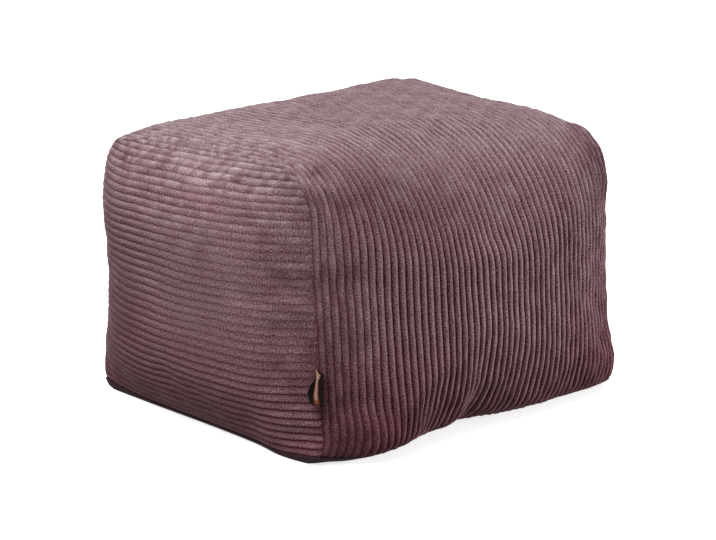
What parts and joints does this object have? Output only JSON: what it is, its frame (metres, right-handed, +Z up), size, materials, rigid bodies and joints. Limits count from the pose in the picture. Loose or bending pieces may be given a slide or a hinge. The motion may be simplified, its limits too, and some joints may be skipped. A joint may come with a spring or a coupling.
{
  "type": "cube bean bag",
  "caption": "Filled cube-shaped floor pouf in wide-ribbed corduroy, with soft crowned faces, sewn side panels, a plain dark base cloth and a small folded tape tab in one corner seam",
  "frame": {"origin": "on the floor, at the middle of the bag's overall box seen from above", "axes": "+X across the front, from the left side panel to the right one; -Y out of the front face towards the viewer; +Z up"},
  "size_m": [0.456, 0.3958, 0.2742],
  "materials": {
    "corduroy": "dusky plum jumbo corduroy, velvety pile with brushed lighter patches",
    "base_cloth": "plain dark plum-brown woven base cloth, matt",
    "tab_tape": "copper-brown satin tape with dark woven edges, bare of lettering"
  },
  "bodies": {
    "root": {"corduroy_bag": "corduroy", "base_cloth": "base_cloth", "seam_tab": "tab_tape"}
  },
  "joints": []
}
